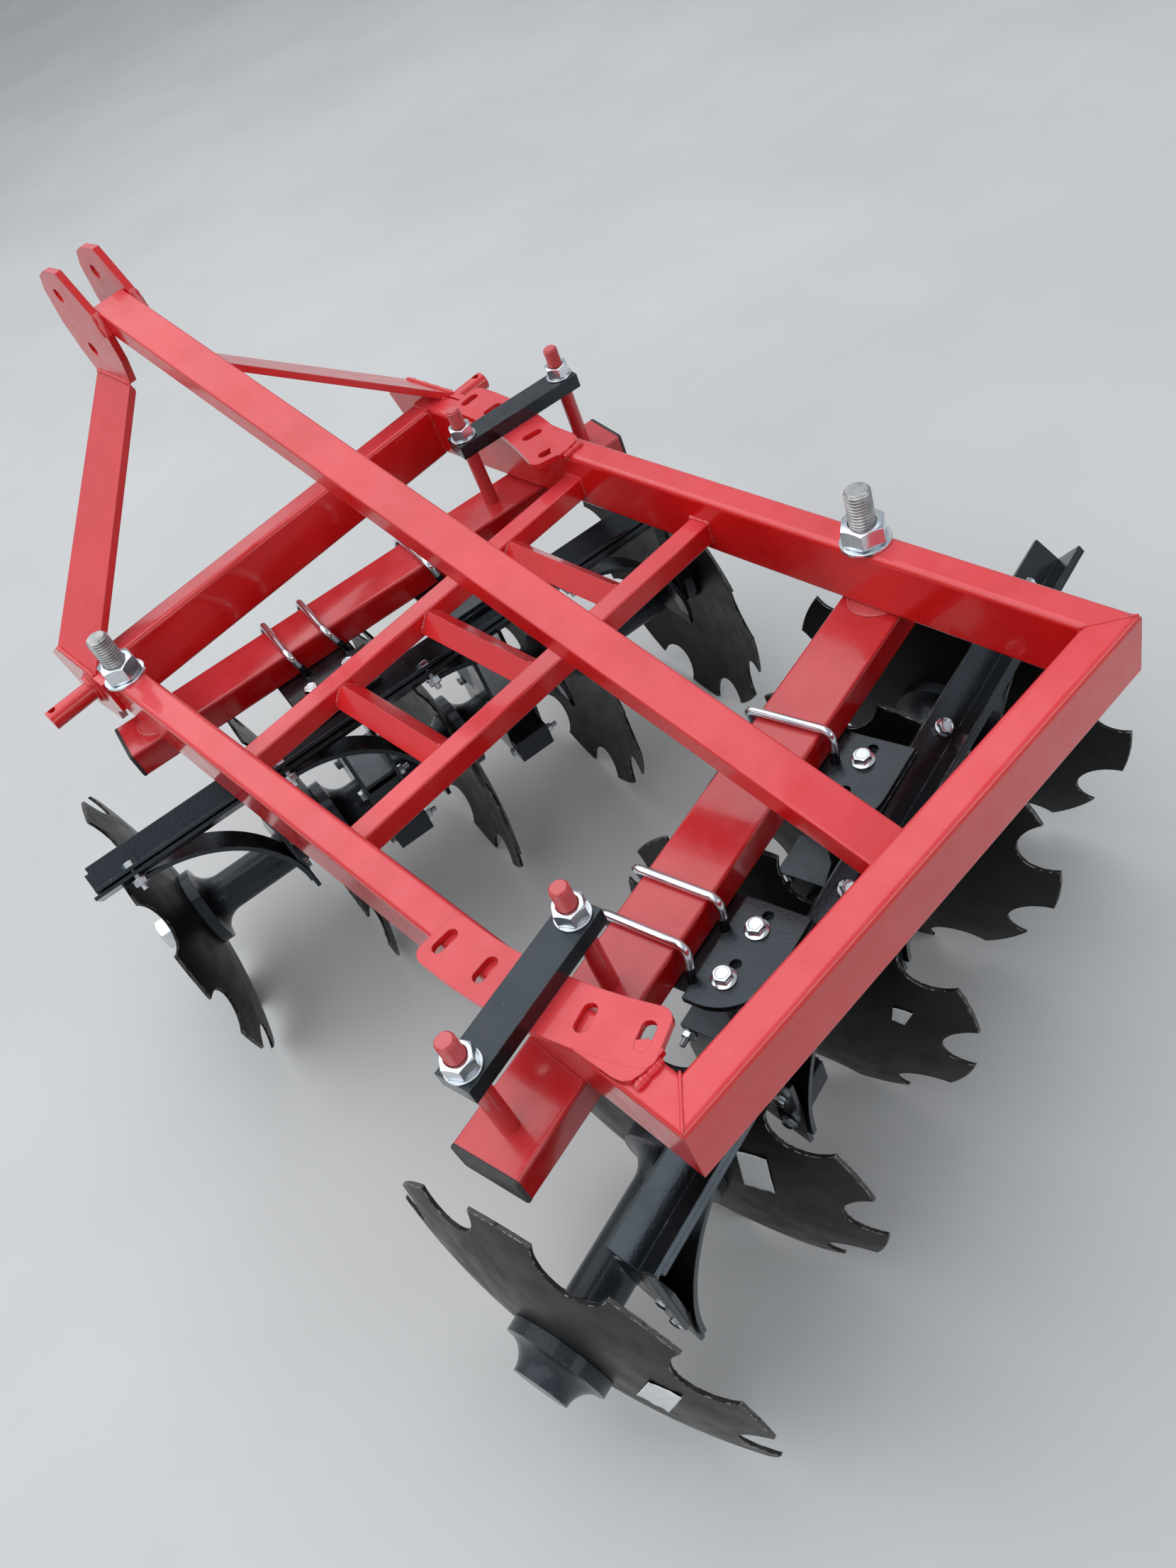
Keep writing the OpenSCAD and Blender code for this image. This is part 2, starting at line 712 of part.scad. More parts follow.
front_line() disc(3, front_turn[3]);  // front_disc_4
front_line() disc(4, front_turn[4]);  // front_disc_5
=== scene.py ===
import math
import bmesh
import bpy
from mathutils import Matrix, Vector


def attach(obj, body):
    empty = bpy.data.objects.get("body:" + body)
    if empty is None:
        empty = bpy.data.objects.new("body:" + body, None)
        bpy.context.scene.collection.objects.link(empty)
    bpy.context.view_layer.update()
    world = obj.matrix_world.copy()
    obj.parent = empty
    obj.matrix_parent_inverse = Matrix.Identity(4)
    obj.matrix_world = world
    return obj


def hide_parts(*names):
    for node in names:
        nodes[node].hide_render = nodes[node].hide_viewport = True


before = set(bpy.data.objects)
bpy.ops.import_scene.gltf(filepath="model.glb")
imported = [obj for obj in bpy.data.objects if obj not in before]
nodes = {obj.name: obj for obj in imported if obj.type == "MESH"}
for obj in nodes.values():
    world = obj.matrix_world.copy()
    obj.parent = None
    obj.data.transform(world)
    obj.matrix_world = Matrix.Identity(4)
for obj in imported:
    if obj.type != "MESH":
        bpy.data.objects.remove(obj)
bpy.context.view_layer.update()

# places shared with the construction, in millimetres
MID_X = -11.0
MID_Y = 641.0
TOP_Z = 604.0
FRAME_W = 656.0
FRAME_L = 1140.0
RAIL_W = 40.0
PIVOT_X = 308.0
PIVOT_Y = 306.0
GANG_STEP = 736.0
GANG_ANGLE = 11.0
BEAM_TOP = -82.0
BEAM_BOT = -122.0
HANG_BOT = -128.0
AXLE_Z = -374.0
CLAMP_S = 638.0
CLAMP_HALF = 82.0
DISC_FIRST = 95.0
DISC_STEP = 230.0
DISH = 36.0
BAR_LOW = -159.8
SCRAPER_LOW = -169.8
BAR_GAP = 12.0

# the two beams with their gangs: lean of the beam, set back and set in of the axle, angle bar,
# bearing stands and scrapers along the gang
SIDES = {
    "rear": {"lean": -0.8, "back": 9.0, "shift": 0.0, "bar": 135.0,
             "stands": (-215.0, -445.0), "scraper": 172.0},
    "front": {"lean": 0.3, "back": 34.0, "shift": 28.0, "bar": 150.0,
              "stands": (-198.0, -428.0), "scraper": 189.0},
}

WORLD = Matrix.Scale(0.001, 4) @ Matrix.Translation((-MID_X, -MID_Y, TOP_Z))
for side, row in SIDES.items():
    turn = Matrix.Rotation(math.radians(GANG_ANGLE), 4, "Z")
    pin = Matrix.Translation((PIVOT_X, PIVOT_Y, 0))
    if side == "rear":
        row["gang"] = WORLD @ pin @ turn
    else:
        flip = Matrix.Scale(-1, 4, (1, 0, 0))
        row["gang"] = WORLD @ Matrix.Translation((0, GANG_STEP, 0)) @ flip @ pin @ turn
    row["swing"] = row["gang"] @ Matrix.Rotation(math.radians(row["lean"]), 4, "Z")
    row["line"] = row["gang"] @ Matrix.Translation((row["shift"], -row["back"], 0))


def camera():
    """Camera that stands where the photograph was taken."""
    cam = bpy.data.cameras.new("camera")
    cam.sensor_fit = "AUTO"
    cam.sensor_width = 36.0
    cam.lens = 28.54
    cam.clip_start = 0.05
    cam.clip_end = 200.0
    obj = bpy.data.objects.new("camera", cam)
    bpy.context.scene.collection.objects.link(obj)
    turn = Vector((2.122, -1.016, 0.008))
    rot = Matrix.Rotation(turn.length, 3, turn.normalized())
    right, down, ahead = rot[0], rot[1], rot[2]
    place = Vector((-0.4859, -1.1003, 1.4808))
    m = Matrix.Identity(4)
    for i in range(3):
        m[i][0] = right[i]
        m[i][1] = -down[i]
        m[i][2] = -ahead[i]
        m[i][3] = place[i]
    obj.matrix_world = m
    bpy.context.scene.camera = obj


# shader nodes


def put(tree, kind, links=None, **props):
    """One node with its settings, its inputs either linked or set."""
    n = tree.nodes.new(kind)
    for key, value in props.items():
        setattr(n, key, value)
    for socket, source in (links or {}).items():
        if isinstance(source, bpy.types.NodeSocket):
            tree.links.new(source, n.inputs[socket])
        else:
            n.inputs[socket].default_value = source
    return n


def blank(name):
    """New material, its node tree and its shader."""
    mat = bpy.data.materials.new(name)
    mat.use_nodes = True
    tree = mat.node_tree
    return mat, tree, tree.nodes["Principled BSDF"]


def place_of(tree, scale=(1, 1, 1), turn=(0, 0, 0)):
    coord = put(tree, "ShaderNodeTexCoord")
    return put(tree, "ShaderNodeMapping", {
        "Vector": coord.outputs["Object"], "Scale": scale, "Rotation": turn}).outputs[0]


def noise(tree, vector, scale, detail=3.0, rough=0.55):
    """Soft noise from 0 to 1."""
    return put(tree, "ShaderNodeTexNoise", {
        "Vector": vector, "Scale": scale, "Detail": detail, "Roughness": rough}).outputs["Fac"]


def span(tree, value, a, b, lo=0.0, hi=1.0):
    """The range from a to b carried smoothly over to the range from lo to hi."""
    return put(tree, "ShaderNodeMapRange", {
        "Value": value, "From Min": a, "From Max": b, "To Min": lo, "To Max": hi},
        interpolation_type="SMOOTHSTEP").outputs[0]


def maths(tree, kind, a, b):
    return put(tree, "ShaderNodeMath", {0: a, 1: b}, operation=kind, use_clamp=True).outputs[0]


def blend(tree, fac, a, b):
    """Mix of two colours, or of colours worked out by other nodes."""
    n = put(tree, "ShaderNodeMix", data_type="RGBA")
    for i, source in ((0, fac), (6, a), (7, b)):
        if isinstance(source, bpy.types.NodeSocket):
            tree.links.new(source, n.inputs[i])
        elif i == 0:
            n.inputs[i].default_value = source
        else:
            n.inputs[i].default_value = (*source, 1)
    return n.outputs[2]


def edges(tree, radius):
    """Rounded normal of the edges, and how near to an edge a point lies."""
    bevel = put(tree, "ShaderNodeBevel", {"Radius": radius}, samples=4)
    geo = put(tree, "ShaderNodeNewGeometry")
    dot = put(tree, "ShaderNodeVectorMath", {0: bevel.outputs[0], 1: geo.outputs["Normal"]},
              operation="DOT_PRODUCT").outputs["Value"]
    return bevel.outputs[0], span(tree, dot, 0.93, 0.985, 1.0, 0.0)


def upward(tree):
    """1 on level top faces, falling to 0 on steep ones."""
    geo = put(tree, "ShaderNodeNewGeometry")
    z = put(tree, "ShaderNodeSeparateXYZ", {0: geo.outputs["Normal"]}).outputs["Z"]
    return span(tree, z, 0.55, 1.0)


def grain(tree, height, strength, depth, normal):
    """Normal roughened by a height, the depth in metres."""
    return put(tree, "ShaderNodeBump", {
        "Strength": strength, "Distance": depth, "Height": height, "Normal": normal}).outputs[0]


def enamel(name, deep, light, pale_wear_and_sheen, rough, bevel=0.0022):
    """Sprayed red enamel: fine orange peel, dust with painted sky sheen on the top faces, scuffs,
    and worn edges with a painted edge highlight.
    """
    mat, tree, shader = blank(name)
    at = place_of(tree)
    round_n, edge = edges(tree, bevel)
    broad = noise(tree, at, 7.0, 4.0)
    colour = blend(tree, span(tree, broad, 0.3, 0.7), deep, light)
    # top faces paler: real dust together with painted sky sheen, in the pale colour
    cloudy = span(tree, noise(tree, at, 24.0, 5.0), 0.2, 0.75, 0.45, 1.0)
    top = maths(tree, "MULTIPLY", upward(tree), cloudy)
    colour = blend(tree, maths(tree, "MULTIPLY", top, 0.40), colour, pale_wear_and_sheen)
    long_at = place_of(tree, (260.0, 14.0, 60.0), (0.0, 0.0, 0.5))
    cross_at = place_of(tree, (12.0, 240.0, 50.0), (0.0, 0.0, -0.35))
    scratch = maths(tree, "ADD", span(tree, noise(tree, long_at, 1.0, 2.0), 0.735, 0.76),
                    span(tree, noise(tree, cross_at, 1.0, 2.0), 0.745, 0.77))
    patch = span(tree, noise(tree, at, 9.0, 2.0), 0.52, 0.66)
    scratch = maths(tree, "MULTIPLY", scratch, patch)
    colour = blend(tree, maths(tree, "MULTIPLY", scratch, 0.20), colour, pale_wear_and_sheen)
    chip = maths(tree, "MULTIPLY", edge, span(tree, noise(tree, at, 75.0, 6.0), 0.60, 0.66))
    # every edge paler: painted edge highlight along with edge wear; the chips below are the wear
    # alone
    colour = blend(tree, maths(tree, "MULTIPLY", edge, 0.22), colour, pale_wear_and_sheen)
    colour = blend(tree, chip, colour, (0.16, 0.10, 0.09))
    tree.links.new(colour, shader.inputs["Base Color"])
    dull = span(tree, noise(tree, at, 31.0, 6.0), 0.25, 0.8, rough - 0.06, rough + 0.12)
    dull = maths(tree, "ADD", dull, maths(tree, "MULTIPLY", top, 0.10))
    dull = maths(tree, "ADD", dull, maths(tree, "MULTIPLY", scratch, 0.12))
    tree.links.new(dull, shader.inputs["Roughness"])
    peel = grain(tree, noise(tree, at, 420.0, 2.0), 0.08, 0.0006, round_n)
    wavy = grain(tree, noise(tree, at, 55.0, 2.0), 0.10, 0.0020, peel)
    tree.links.new(wavy, shader.inputs["Normal"])
    shader.inputs["Coat Weight"].default_value = 0.6
    shader.inputs["Coat Roughness"].default_value = 0.09
    return mat


def black_paint(name, grey, rough, size, strength):
    """Black paint over rolled or cast steel, with grain, dust and rubbed edges."""
    mat, tree, shader = blank(name)
    at = place_of(tree)
    round_n, edge = edges(tree, 0.0020)
    mottled = span(tree, noise(tree, at, 16.0, 5.0), 0.35, 0.75)
    colour = blend(tree, mottled, (0.0030, 0.0030, 0.0035), grey)
    top = maths(tree, "MULTIPLY", upward(tree), span(tree, noise(tree, at, 38.0, 6.0), 0.35, 0.75))
    colour = blend(tree, maths(tree, "MULTIPLY", top, 0.10), colour, (0.11, 0.105, 0.10))
    rubbed = span(tree, noise(tree, at, 60.0, 6.0), 0.52, 0.66, 0.10, 0.75)
    worn = maths(tree, "MULTIPLY", edge, rubbed)
    colour = blend(tree, worn, colour, (0.17, 0.165, 0.16))
    spots = span(tree, noise(tree, at, 180.0, 3.0), 0.70, 0.76)
    colour = blend(tree, maths(tree, "MULTIPLY", spots, 0.35), colour, (0.20, 0.19, 0.18))
    tree.links.new(colour, shader.inputs["Base Color"])
    dull = span(tree, noise(tree, at, 22.0, 6.0), 0.25, 0.8, rough - 0.08, rough + 0.14)
    tree.links.new(maths(tree, "ADD", dull, maths(tree, "MULTIPLY", top, 0.15)),
                   shader.inputs["Roughness"])
    fine = grain(tree, noise(tree, at, size, 5.0, 0.6), strength, 0.0012, round_n)
    tree.links.new(fine, shader.inputs["Normal"])
    shader.inputs["Specular IOR Level"].default_value = 0.56
    # bluish specular tint: painted blue of the sky in the reflections
    shader.inputs["Specular Tint"].default_value = (0.67, 0.83, 1.0, 1.0)
    shader.inputs["Coat Weight"].default_value = 0.3
    shader.inputs["Coat Roughness"].default_value = 0.12
    return mat


def disc_paint(name, through, along):
    """Satin black disc: concentric rolling marks, and its rim chipped to bright steel."""
    mat, tree, shader = blank(name)
    at = place_of(tree)
    round_n, edge = edges(tree, 0.0016)
    off = put(tree, "ShaderNodeVectorMath", {0: at, 1: through}, operation="SUBTRACT").outputs[0]
    out = put(tree, "ShaderNodeVectorMath", {0: off, 1: along},
              operation="CROSS_PRODUCT").outputs[0]
    radius = put(tree, "ShaderNodeVectorMath", {0: out}, operation="LENGTH").outputs["Value"]
    colour = blend(tree, span(tree, noise(tree, at, 9.0, 6.0), 0.3, 0.75),
                   (0.0034, 0.0032, 0.0028), (0.0100, 0.0096, 0.0088))
    # upward faces lighter grey: painted top light
    top = maths(tree, "MULTIPLY", upward(tree), 0.12)
    colour = blend(tree, top, colour, (0.07, 0.068, 0.065))
    scuff = span(tree, noise(tree, place_of(tree, (30, 30, 160)), 1.0, 3.0), 0.70, 0.76)
    colour = blend(tree, maths(tree, "MULTIPLY", scuff, 0.25), colour, (0.16, 0.15, 0.145))
    rag = span(tree, noise(tree, at, 95.0, 5.0), 0.3, 0.7, -0.0016, 0.0016)
    rim = span(tree, maths(tree, "ADD", radius, rag), 0.2283, 0.2291)
    chips = maths(tree, "MULTIPLY", edge, span(tree, noise(tree, at, 130.0, 4.0), 0.50, 0.56))
    bare = maths(tree, "MAXIMUM", maths(tree, "MULTIPLY", rim, 0.14), chips)
    colour = blend(tree, bare, colour, (0.46, 0.45, 0.44))
    tree.links.new(colour, shader.inputs["Base Color"])
    tree.links.new(maths(tree, "MULTIPLY", bare, 0.85), shader.inputs["Metallic"])
    tree.links.new(span(tree, noise(tree, at, 26.0, 6.0), 0.25, 0.8, 0.30, 0.48),
                   shader.inputs["Roughness"])
    shader.inputs["Specular IOR Level"].default_value = 0.19
    rings = put(tree, "ShaderNodeMath", {0: radius, 1: 1500.0}, operation="MULTIPLY").outputs[0]
    rings = put(tree, "ShaderNodeMath", {0: rings}, operation="SINE").outputs[0]
    grooved = grain(tree, rings, 0.05, 0.0003, round_n)
    tree.links.new(grain(tree, noise(tree, at, 330.0, 4.0), 0.16, 0.0008, grooved),
                   shader.inputs["Normal"])
    return mat


def plated(name, tint, pale, rough, bevel=0.0010):
    """Bright zinc plating with faint yellow and blue stains and a fine drawn grain."""
    mat, tree, shader = blank(name)
    at = place_of(tree)
    round_n = edges(tree, bevel)[0]
    stain = noise(tree, at, 46.0, 4.0)
    colour = blend(tree, span(tree, stain, 0.3, 0.7), tint, pale)
    grime = span(tree, noise(tree, at, 110.0, 5.0), 0.62, 0.72)
    colour = blend(tree, maths(tree, "MULTIPLY", grime, 0.25), colour, (0.30, 0.29, 0.28))
    tree.links.new(colour, shader.inputs["Base Color"])
    shader.inputs["Metallic"].default_value = 1.0
    tree.links.new(span(tree, noise(tree, at, 40.0, 4.0), 0.25, 0.8, rough - 0.06, rough + 0.10),
                   shader.inputs["Roughness"])
    tree.links.new(grain(tree, noise(tree, at, 520.0, 3.0), 0.05, 0.0004, round_n),
                   shader.inputs["Normal"])
    return mat


def plastic(name):
    """Dull black plastic of the end caps."""
    mat, tree, shader = blank(name)
    at = place_of(tree)
    round_n, edge = edges(tree, 0.0012)
    colour = blend(tree, noise(tree, at, 60.0), (0.022, 0.022, 0.023), (0.040, 0.040, 0.041))
    # every edge lighter grey: painted edge highlight
    tree.links.new(blend(tree, maths(tree, "MULTIPLY", edge, 0.3), colour, (0.12, 0.12, 0.12)),
                   shader.inputs["Base Color"])
    tree.links.new(span(tree, noise(tree, at, 90.0), 0.3, 0.7, 0.42, 0.58),
                   shader.inputs["Roughness"])
    tree.links.new(grain(tree, noise(tree, at, 900.0), 0.25, 0.0004, round_n),
                   shader.inputs["Normal"])
    return mat


def paper(name):
    """Blank white label, a little dirty and crumpled."""
    mat, tree, shader = blank(name)
    at = place_of(tree)
    dirt = span(tree, noise(tree, at, 70.0, 6.0), 0.55, 0.8)
    tree.links.new(blend(tree, dirt, (0.80, 0.80, 0.79), (0.58, 0.56, 0.53)),
                   shader.inputs["Base Color"])
    tree.links.new(span(tree, noise(tree, at, 50.0), 0.3, 0.7, 0.35, 0.5),
                   shader.inputs["Roughness"])
    geo = put(tree, "ShaderNodeNewGeometry")
    tree.links.new(grain(tree, noise(tree, at, 60.0, 4.0), 0.5, 0.0015, geo.outputs["Normal"]),
                   shader.inputs["Normal"])
    return mat


def studio_floor(name):
    """Pale floor that throws less light back up than its own brightness would."""
    mat, tree, shader = blank(name)
    at = place_of(tree)
    mottled = span(tree, noise(tree, at, 1.3, 5.0), 0.25, 0.75)
    path = put(tree, "ShaderNodeLightPath")
    seen = maths(tree, "MAXIMUM", path.outputs["Is Camera Ray"], path.outputs["Is Glossy Ray"])
    pale = blend(tree, mottled, (0.60, 0.595, 0.585), (0.66, 0.655, 0.645))
    tree.links.new(blend(tree, seen, (0.26, 0.257, 0.252), pale), shader.inputs["Base Color"])
    shader.inputs["Roughness"].default_value = 0.75
    geo = put(tree, "ShaderNodeNewGeometry")
    tree.links.new(grain(tree, noise(tree, at, 140.0, 4.0), 0.08, 0.001, geo.outputs["Normal"]),
                   shader.inputs["Normal"])
    return mat


# mesh pieces, in millimetres


class Shape:
    """Vertices and faces gathered from several forms, each placed by its own matrix."""

    def __init__(self):
        self.verts = []
        self.faces = []

    def add(self, made, m=None):
        verts, faces = made
        base = len(self.verts)
        m = m or Matrix.Identity(4)
        self.verts += [m @ Vector(p) for p in verts]
        self.faces += [[base + i for i in face] for face in faces]


def make(name, shape, space, mat, body, sharp=32):
    """Mesh object of a shape, carried by its body."""
    mesh = bpy.data.meshes.new(name)
    mesh.from_pydata([space @ p for p in shape.verts], [], shape.faces)
    bm = bmesh.new()
    bm.from_mesh(mesh)
    bmesh.ops.recalc_face_normals(bm, faces=bm.faces)
    bm.to_mesh(mesh)
    bm.free()
    mesh.polygons.foreach_set("use_smooth", [True] * len(mesh.polygons))
    mesh.set_sharp_from_angle(angle=math.radians(sharp))
    obj = bpy.data.objects.new(name, mesh)
    bpy.context.scene.collection.objects.link(obj)
    mesh.materials.append(mat)
    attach(obj, body)
    return obj


def aim(p, axis, turn=0.0):
    """Matrix with its own Z along the axis, at the place p."""
    q = Vector(axis).to_track_quat("Z", "Y")
    return (Matrix.Translation(p) @ q.to_matrix().to_4x4()
            @ Matrix.Rotation(math.radians(turn), 4, "Z"))


def skin(rings, closed=False):
    """Surface through rings of as many points each, closed on itself or with two end faces."""
    n = len(rings[0])
    count = len(rings)
    verts = [p for ring in rings for p in ring]
    faces = []
    for i in range(count if closed else count - 1):
        a = i * n
        b = ((i + 1) % count) * n
        faces += [[a + j, a + (j + 1) % n, b + (j + 1) % n, b + j] for j in range(n)]
    if not closed:
        faces.append(list(range(n))[::-1])
        faces.append([(count - 1) * n + j for j in range(n)])
    return verts, faces


def ring(r, z, n):
    """Circle of n points round Z."""
    return [(r * math.cos(2 * math.pi * j / n), r * math.sin(2 * math.pi * j / n), z)
            for j in range(n)]


def turned(profile, n=40, closed=False):
    """Profile of radius and height turned about Z."""
    return skin([ring(r, z, n) for r, z in profile], closed)


def washer(bore, r, t):
    """Flat ring with its outer edges broken."""
    e = min(0.6, t * 0.3)
    return turned([(bore, 0), (r - e, 0), (r, e), (r, t - e), (r - e, t), (bore, t)], 40, True)


def hexagon(af, h, bore=0.0, both=False):
    """Hexagon with chamfered corners: a nut round a bore, or a bolt head."""
    n = 48
    flat = af * 0.475
    fall = math.tan(math.radians(30))
    low, high = [], []
    for j in range(n):
        t = 2 * math.pi * j / n
        r = af / 2 / math.cos(t % (math.pi / 3) - math.pi / 6)
        drop = (r - flat) * fall
        low.append((r * math.cos(t), r * math.sin(t), drop if both else 0.0))
        high.append((r * math.cos(t), r * math.sin(t), h - drop))
    rows = [ring(flat, 0, n), low, high, ring(flat, h, n)]
    if bore:
        rows = [ring(bore, 0, n)] + rows + [ring(bore + 1, h, n), ring(bore, h - 1, n)]
        return skin(rows, True)
    rows += [ring(flat * 0.80, h, n), ring(flat * 0.74, h - 0.5, n), ring(flat * 0.1, h - 0.5, n)]
    return skin(rows)


def thread(r, pitch, z0, z1, n=24):
    """Right-hand screw thread with a chamfered end at the top."""
    steps = 6
    rows = int((z1 - z0) / pitch * steps)
    rings = []
    for i in range(rows + 1):
        z = z0 + (z1 - z0) * i / rows
        row = []
        for j in range(n):
            t = (z / pitch - j / n) % 1
            rr = r - 0.58 * pitch * (1 - min(1.0, 1.35 * abs(2 * t - 1)))
            rr = min(rr, r - max(0.0, z - (z1 - 0.75 * pitch)))
            row.append((rr * math.cos(2 * math.pi * j / n), rr * math.sin(2 * math.pi * j / n), z))
        rings.append(row)
    rings.append(ring(r * 0.5, z1, n))
    return skin(rings)


def sweep(points, radii, n=10, closed=False):
    """Round section carried along a line of points."""
    pts = [Vector(p) for p in points]
    count = len(pts)
    up = None
    rings = []
    for i, p in enumerate(pts):
        if closed:
            ahead = pts[(i + 1) % count] - pts[i - 1]
        else:
            ahead = pts[min(i + 1, count - 1)] - pts[max(i - 1, 0)]
        ahead.normalize()
        if up is None:
            up = ahead.orthogonal().normalized()
        up = (up - ahead * up.dot(ahead)).normalized()
        over = ahead.cross(up)
        r = radii[i] if isinstance(radii, list) else radii
        rings.append([p + (up * math.cos(2 * math.pi * j / n)
                           + over * math.sin(2 * math.pi * j / n)) * r for j in range(n)])
    return skin(rings, closed)


def spaced(points, step, closed=False):
    """The same line with its points a step apart."""
    pts = [Vector(p) for p in points]
    if closed:
        pts.append(pts[0])
    out = []
    left = 0.0
    for a, b in zip(pts, pts[1:]):
        length = (b - a).length
        d = left
        while d < length:
            out.append(a + (b - a) * (d / length))
            d += step
        left = d - length
    if not closed:
        out.append(pts[-1])
    return out


def weld(points, r=3.2, closed=False, seed=0.0):
    """Fillet weld: a low bead with the overlapping ripples of its run."""
    line = spaced(points, 1.1, closed)
    radii = []
    for i in range(len(line)):
        d = i * 1.1
        ripple = 1 - (d / 4.4 + 0.15 * math.sin(d * 0.13 + seed)) % 1
        sway = 0.10 * math.sin(d * 0.21 + seed) + 0.06 * math.sin(d * 0.53 + 2 * seed)
        end = 1.0
        if not closed:
            end = min(1.0, 0.45 + min(i, len(line) - 1 - i) * 0.12)
        radii.append(r * (0.90 + 0.20 * ripple + sway) * end)
    return sweep(line, radii, 9, closed)


def bent(points, radii):
    """Line whose inner corners are rounded, the radii taken in turn from both ends."""
    pts = [Vector(p) for p in points]
    out = [pts[0]]
    for i in range(1, len(pts) - 1):
        r = radii[min(i, len(pts) - 1 - i) - 1]
        a = pts[i] + (pts[i - 1] - pts[i]).normalized() * r
        b = pts[i] + (pts[i + 1] - pts[i]).normalized() * r
        for j in range(9):
            t = j / 8
            out.append(a * (1 - t) ** 2 + pts[i] * 2 * t * (1 - t) + b * t * t)
    out.append(pts[-1])
    return out


def circle(p, axis, r, n=40):
    """Circle of n points round an axis through p."""
    m = aim(p, axis)
    return [m @ Vector((r * math.cos(2 * math.pi * j / n), r * math.sin(2 * math.pi * j / n), 0))
            for j in range(n)]


def flange_bolt(af, h, flange):
    """Hexagon head on its own round flange."""
    shape = Shape()
    shape.add(turned([(flange - 1, 0), (flange, 0.6), (flange, 1.8), (flange - 3, 3.2),
                      (af * 0.4, 3.6)], 36))
    shape.add(hexagon(af, h - 2.4), Matrix.Translation((0, 0, 2.4)))
    return shape.verts, shape.faces


camera()

# rounding of edges on threads, in metres: finer than elsewhere, to keep their relief
FINE_EDGE = 0.0002

red = enamel("enamel_red",
             deep=(0.62, 0.006, 0.007), light=(0.72, 0.010, 0.010), pale_wear_and_sheen=(0.96, 0.12, 0.155),
             rough=0.27)
beam_red = enamel("enamel_beam",
                  deep=(0.46, 0.004, 0.005), light=(0.56, 0.006, 0.007), pale_wear_and_sheen=(0.86, 0.09, 0.11),
                  rough=0.15)
stud_red = enamel("enamel_stud",
                  deep=(0.50, 0.020, 0.022), light=(0.60, 0.050, 0.055), pale_wear_and_sheen=(0.86, 0.22, 0.22),
                  rough=0.34, bevel=FINE_EDGE)
black = black_paint("paint_black",
                    grey=(0.0080, 0.0080, 0.0090), rough=0.20, size=260.0, strength=0.30)
cast = black_paint("cast_black",
                   grey=(0.0085, 0.0085, 0.0095), rough=0.26, size=400.0, strength=0.80)
zinc = plated("zinc", tint=(0.62, 0.66, 0.71), pale=(0.80, 0.82, 0.84), rough=0.19)
stud_zinc = plated("zinc_stained", tint=(0.34, 0.33, 0.33), pale=(0.56, 0.55, 0.54), rough=0.36,
                   bevel=FINE_EDGE)
cap_grey = plastic("cap_plastic")
label = paper("blank_label")


def axis_of(side):
    """A point of the gang's axle and its direction."""
    row = SIDES[side]
    p = row["line"] @ Vector((0, 0, AXLE_Z))
    d = (row["line"].to_3x3() @ Vector((1, 0, 0))).normalized()
    return tuple(p), tuple(d)


disc_mat = {side: disc_paint("disc_" + side, *axis_of(side)) for side in SIDES}

for name, obj in nodes.items():
    mat = black
    if "disc" in name:
        mat = disc_mat[name.split("_")[0]]
    elif "spools" in name or "end_bell" in name:
        mat = cast
    elif "beam" in name or "studs" in name:
        mat = beam_red
    elif any(w in name for w in ("rail", "cross", "mast", "hitch", "slot_plate")):
        mat = red
    elif "fixings" in name or "axle" in name:
        mat = zinc
    for place in obj.material_slots:
        place.material = mat


# fastenings of each beam and gang: threads by their radius, nuts and heads by width and height

FREE = 0.2
NUT_GAP = 0.5
PIVOT_R = 15.0
PIVOT_NUT = (46.0, 24.0)
PIVOT_WASHER = 4.0
PIVOT_TOP = 70.0
CLAMP_R = 10.0
CLAMP_NUT = (30.0, 16.0)
CLAMP_WASHER = 3.0
CLAMP_BAR_TOP = 28.0
CLAMP_TOP = 72.0

# U-bolts: middle of a pair from its stand, half of their distance, half of their width
U_R = 5.0
U_MID = -20.0
U_STEP = 32.0
U_HALF = 56.0
U_TOP_HALF = 52.0
U_FOOT = -116.0
U_TOP = BEAM_TOP + U_R
U_NUT = (17.0, 9.0)
U_WASHER = 2.0

BAR_BOLT = 17.0
SLOT_BOLTS = ((12, -72), (-49, -70))
STAND_BOLT = 14.0
SMALL_WASHER = 1.4
SCRAPER_BOLT = 13.0
AXLE_NUT = 46.0
AXLE_R = 12.0

# the beam's ends along it, behind the far clamp stud and past the pivot
BEAM_ENDS = ((-758.0, -1), (56.0, 1))


